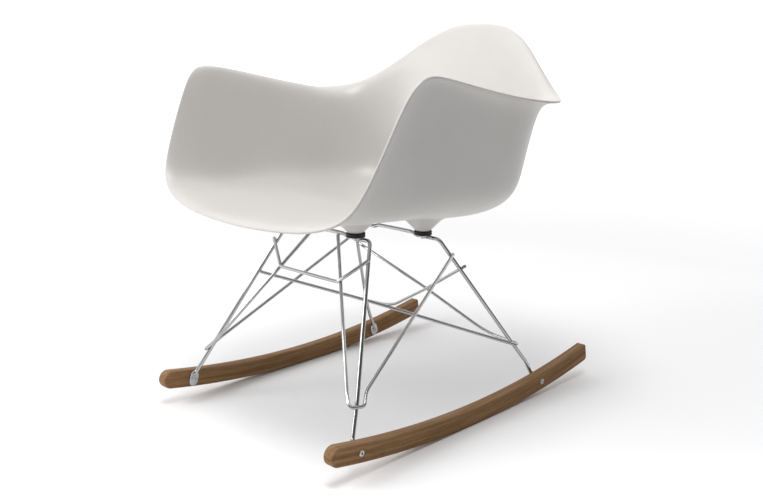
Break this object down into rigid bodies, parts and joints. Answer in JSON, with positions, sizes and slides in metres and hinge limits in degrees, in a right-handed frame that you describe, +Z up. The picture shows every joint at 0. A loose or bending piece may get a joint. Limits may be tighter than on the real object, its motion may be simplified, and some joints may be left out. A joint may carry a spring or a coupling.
{
  "type": "rocking armchair",
  "caption": "Moulded plastic armchair shell on a welded chromed wire base with curved walnut runners, for sitting and rocking.",
  "frame": {"origin": "on the floor, in the chair's plane of symmetry, at the middle of its footprint", "axes": "+Z up, -Y the way the sitter faces, +X the sitter's left"},
  "size_m": [0.6294, 0.7334, 0.7287],
  "materials": {
    "shell_plastic": "satin, off-white",
    "pad_rubber": "matt black",
    "insert_brass": "turned",
    "walnut": "oiled walnut, satin",
    "fastener_steel": "zinc plated",
    "chrome_wire": "polished"
  },
  "bodies": {
    "root": {"seat_shell": "shell_plastic", "threaded_inserts": "insert_brass", "mount_pad_front_left": "pad_rubber", "mount_pad_front_right": "pad_rubber", "mount_pad_rear_left": "pad_rubber", "mount_pad_rear_right": "pad_rubber", "mount_plate_front_left": "fastener_steel", "mount_plate_front_right": "fastener_steel", "mount_plate_rear_left": "fastener_steel", "mount_plate_rear_right": "fastener_steel", "mount_screws": "fastener_steel", "lock_washers": "fastener_steel", "front_hoop": "chrome_wire", "rear_hoop": "chrome_wire", "front_strut_left": "chrome_wire", "front_strut_right": "chrome_wire", "rear_strut_left": "chrome_wire", "rear_strut_right": "chrome_wire", "front_bracket": "chrome_wire", "rocker_left": "walnut", "rocker_right": "walnut", "rocker_screws": "fastener_steel", "rocker_washers": "fastener_steel", "rocker_sleeve_nuts": "fastener_steel"}
  },
  "joints": []
}
